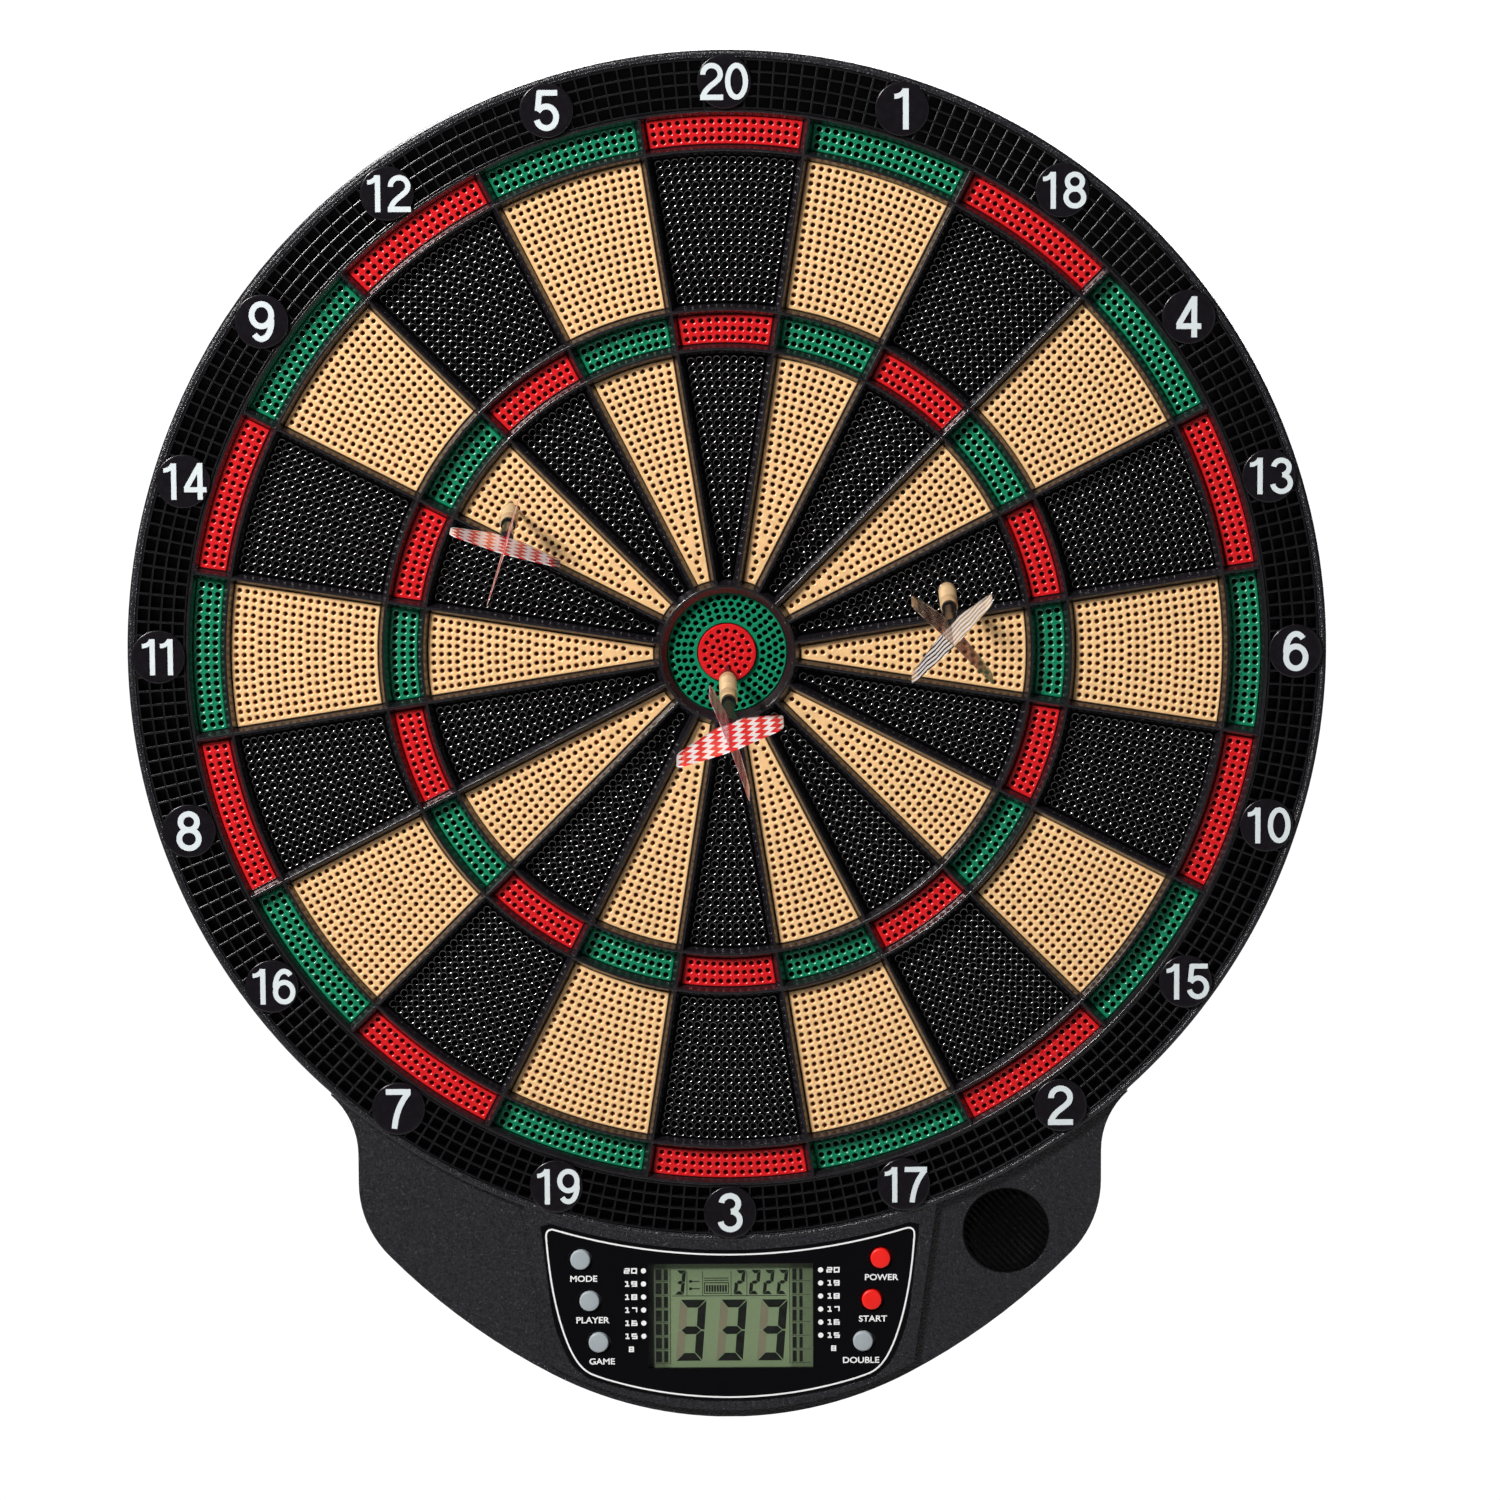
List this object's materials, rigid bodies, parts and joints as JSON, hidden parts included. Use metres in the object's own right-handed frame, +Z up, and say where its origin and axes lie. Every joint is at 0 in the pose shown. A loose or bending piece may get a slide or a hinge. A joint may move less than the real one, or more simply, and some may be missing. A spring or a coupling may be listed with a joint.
{
  "type": "electronic dartboard",
  "caption": "Round wall-hung electronic dartboard for soft-tip darts, with a segmented target, a catch ring of numbers, a control panel below with buttons and display, and darts in the target.",
  "frame": {"origin": "bull's axis at the wall plane, where the back of the board rests on the wall", "axes": "+Z up towards number 20 as the board hangs, -Y out of the wall towards the player, +X to the player's right"},
  "size_m": [0.43, 0.1524, 0.4942],
  "materials": {
    "housing": "fine leather grain",
    "catch_ring": "satin",
    "disc": "satin, slightly domed edge",
    "numeral": "printed",
    "spider": "semi-gloss",
    "segment_cream": "semi-gloss, full of dart holes",
    "segment_black": "semi-gloss, full of dart holes",
    "segment_red": "semi-gloss, full of dart holes",
    "segment_green": "semi-gloss, full of dart holes",
    "rear_cover": "matt",
    "panel": "high gloss",
    "panel_print": "printed",
    "window": "clear",
    "lcd": "reflective grey-green",
    "lcd_ink": "dark segments",
    "button_grey": "satin",
    "button_red": "satin",
    "circuit_board": "solder mask",
    "switch": "moulded",
    "foam": "fine-pored sheet",
    "membrane": "clear film with printed tracks",
    "ribbon": "flat flexible cable",
    "speaker": "black, paper cone",
    "wire": "insulated wire",
    "battery": "wrapped can",
    "contact": "nickel-plated",
    "screw": "zinc-plated",
    "dart_tip": "soft plastic",
    "dart_brass": "turned",
    "dart_stem": "semi-gloss",
    "flight_red": "printed film",
    "flight_white": "printed film",
    "flight_clear": "clear tinted film"
  },
  "bodies": {
    "board": {"front_housing": "housing", "catch_ring": "catch_ring", "number_discs": "disc", "spider": "spider", "rear_cover": "rear_cover", "faceplate": "panel", "window_lens": "window", "lcd_panel": "lcd", "circuit_board": "circuit_board", "tact_switches": "switch", "foam_mat": "foam", "membrane_switch": "membrane", "ribbon_cable": "ribbon", "speaker": "speaker", "wire_harness": "wire", "batteries": "battery", "battery_contacts": "contact", "screws": "screw"},
    "battery_door": {"battery_door": "rear_cover"},
    "mode_button": {"mode_button": "button_grey"},
    "player_button": {"player_button": "button_grey"},
    "game_button": {"game_button": "button_grey"},
    "power_button": {"power_button": "button_red"},
    "start_button": {"start_button": "button_red"},
    "double_button": {"double_button": "button_grey"},
    "inner_bull": {"inner_bull": "segment_red"},
    "outer_bull": {"outer_bull": "segment_green"},
    "segments_01": {"segments_01": "segment_cream"},
    "segments_02": {"segments_02": "segment_black"},
    "segments_03": {"segments_03": "segment_black"},
    "segments_04": {"segments_04": "segment_cream"},
    "segments_05": {"segments_05": "segment_cream"},
    "segments_06": {"segments_06": "segment_cream"},
    "segments_07": {"segments_07": "segment_black"},
    "segments_08": {"segments_08": "segment_black"},
    "segments_09": {"segments_09": "segment_cream"},
    "segments_10": {"segments_10": "segment_black"},
    "segments_11": {"segments_11": "segment_cream"},
    "segments_12": {"segments_12": "segment_black"},
    "segments_13": {"segments_13": "segment_black"},
    "segments_14": {"segments_14": "segment_black"},
    "segments_15": {"segments_15": "segment_cream"},
    "segments_16": {"segments_16": "segment_cream"},
    "segments_17": {"segments_17": "segment_cream"},
    "segments_18": {"segments_18": "segment_black"},
    "segments_19": {"segments_19": "segment_cream"},
    "segments_20": {"segments_20": "segment_black"},
    "dart_1": {"dart_1_tip": "dart_tip", "dart_1_barrel": "dart_brass", "dart_1_stem": "dart_stem", "dart_1_flight": "flight_red"},
    "dart_2": {"dart_2_tip": "dart_tip", "dart_2_barrel": "dart_brass", "dart_2_stem": "dart_stem", "dart_2_flight": "flight_red"},
    "dart_3": {"dart_3_tip": "dart_tip", "dart_3_barrel": "dart_brass", "dart_3_stem": "dart_stem", "dart_3_flight": "flight_red"}
  },
  "joints": [
    {"name": "dart_1_pull", "type": "slide", "parent": "inner_bull", "child": "dart_1", "axis": [0, -1, 0], "range_m": [0, 0.12]},
    {"name": "dart_2_pull", "type": "slide", "parent": "segments_09", "child": "dart_2", "axis": [0, -1, 0], "range_m": [0, 0.12]},
    {"name": "dart_3_pull", "type": "slide", "parent": "segments_13", "child": "dart_3", "axis": [0, -1, 0], "range_m": [0, 0.12]},
    {"name": "inner_bull_press", "type": "slide", "parent": "board", "child": "inner_bull", "axis": [0, 1, 0], "range_m": [0, 0.0015], "stiffness_N_per_m": 300, "springref_m": -0.0005},
    {"name": "outer_bull_press", "type": "slide", "parent": "board", "child": "outer_bull", "axis": [0, 1, 0], "range_m": [0, 0.0015], "stiffness_N_per_m": 300, "springref_m": -0.0005},
    {"name": "mode_button_press", "type": "slide", "parent": "board", "child": "mode_button", "axis": [0, 1, 0], "range_m": [0, 0.001], "stiffness_N_per_m": 900, "springref_m": -0.0003},
    {"name": "player_button_press", "type": "slide", "parent": "board", "child": "player_button", "axis": [0, 1, 0], "range_m": [0, 0.001], "stiffness_N_per_m": 900, "springref_m": -0.0003},
    {"name": "game_button_press", "type": "slide", "parent": "board", "child": "game_button", "axis": [0, 1, 0], "range_m": [0, 0.001], "stiffness_N_per_m": 900, "springref_m": -0.0003},
    {"name": "power_button_press", "type": "slide", "parent": "board", "child": "power_button", "axis": [0, 1, 0], "range_m": [0, 0.001], "stiffness_N_per_m": 900, "springref_m": -0.0003},
    {"name": "start_button_press", "type": "slide", "parent": "board", "child": "start_button", "axis": [0, 1, 0], "range_m": [0, 0.001], "stiffness_N_per_m": 900, "springref_m": -0.0003},
    {"name": "double_button_press", "type": "slide", "parent": "board", "child": "double_button", "axis": [0, 1, 0], "range_m": [0, 0.001], "stiffness_N_per_m": 900, "springref_m": -0.0003},
    {"name": "battery_door_hinge", "type": "hinge", "parent": "board", "child": "battery_door", "pos_m": [0, -0.001, -0.2659], "axis": [-1, 0, 0], "range_deg": [0, 75]},
    {"name": "segments_01_press", "type": "slide", "parent": "board", "child": "segments_01", "axis": [0, 1, 0], "range_m": [0, 0.0015], "stiffness_N_per_m": 600, "springref_m": -0.0005},
    {"name": "segments_02_press", "type": "slide", "parent": "board", "child": "segments_02", "axis": [0, 1, 0], "range_m": [0, 0.0015], "stiffness_N_per_m": 600, "springref_m": -0.0005},
    {"name": "segments_03_press", "type": "slide", "parent": "board", "child": "segments_03", "axis": [0, 1, 0], "range_m": [0, 0.0015], "stiffness_N_per_m": 600, "springref_m": -0.0005},
    {"name": "segments_04_press", "type": "slide", "parent": "board", "child": "segments_04", "axis": [0, 1, 0], "range_m": [0, 0.0015], "stiffness_N_per_m": 600, "springref_m": -0.0005},
    {"name": "segments_05_press", "type": "slide", "parent": "board", "child": "segments_05", "axis": [0, 1, 0], "range_m": [0, 0.0015], "stiffness_N_per_m": 600, "springref_m": -0.0005},
    {"name": "segments_06_press", "type": "slide", "parent": "board", "child": "segments_06", "axis": [0, 1, 0], "range_m": [0, 0.0015], "stiffness_N_per_m": 600, "springref_m": -0.0005},
    {"name": "segments_07_press", "type": "slide", "parent": "board", "child": "segments_07", "axis": [0, 1, 0], "range_m": [0, 0.0015], "stiffness_N_per_m": 600, "springref_m": -0.0005},
    {"name": "segments_08_press", "type": "slide", "parent": "board", "child": "segments_08", "axis": [0, 1, 0], "range_m": [0, 0.0015], "stiffness_N_per_m": 600, "springref_m": -0.0005},
    {"name": "segments_09_press", "type": "slide", "parent": "board", "child": "segments_09", "axis": [0, 1, 0], "range_m": [0, 0.0015], "stiffness_N_per_m": 600, "springref_m": -0.0005},
    {"name": "segments_10_press", "type": "slide", "parent": "board", "child": "segments_10", "axis": [0, 1, 0], "range_m": [0, 0.0015], "stiffness_N_per_m": 600, "springref_m": -0.0005},
    {"name": "segments_11_press", "type": "slide", "parent": "board", "child": "segments_11", "axis": [0, 1, 0], "range_m": [0, 0.0015], "stiffness_N_per_m": 600, "springref_m": -0.0005},
    {"name": "segments_12_press", "type": "slide", "parent": "board", "child": "segments_12", "axis": [0, 1, 0], "range_m": [0, 0.0015], "stiffness_N_per_m": 600, "springref_m": -0.0005},
    {"name": "segments_13_press", "type": "slide", "parent": "board", "child": "segments_13", "axis": [0, 1, 0], "range_m": [0, 0.0015], "stiffness_N_per_m": 600, "springref_m": -0.0005},
    {"name": "segments_14_press", "type": "slide", "parent": "board", "child": "segments_14", "axis": [0, 1, 0], "range_m": [0, 0.0015], "stiffness_N_per_m": 600, "springref_m": -0.0005},
    {"name": "segments_15_press", "type": "slide", "parent": "board", "child": "segments_15", "axis": [0, 1, 0], "range_m": [0, 0.0015], "stiffness_N_per_m": 600, "springref_m": -0.0005},
    {"name": "segments_16_press", "type": "slide", "parent": "board", "child": "segments_16", "axis": [0, 1, 0], "range_m": [0, 0.0015], "stiffness_N_per_m": 600, "springref_m": -0.0005},
    {"name": "segments_17_press", "type": "slide", "parent": "board", "child": "segments_17", "axis": [0, 1, 0], "range_m": [0, 0.0015], "stiffness_N_per_m": 600, "springref_m": -0.0005},
    {"name": "segments_18_press", "type": "slide", "parent": "board", "child": "segments_18", "axis": [0, 1, 0], "range_m": [0, 0.0015], "stiffness_N_per_m": 600, "springref_m": -0.0005},
    {"name": "segments_19_press", "type": "slide", "parent": "board", "child": "segments_19", "axis": [0, 1, 0], "range_m": [0, 0.0015], "stiffness_N_per_m": 600, "springref_m": -0.0005},
    {"name": "segments_20_press", "type": "slide", "parent": "board", "child": "segments_20", "axis": [0, 1, 0], "range_m": [0, 0.0015], "stiffness_N_per_m": 600, "springref_m": -0.0005}
  ]
}
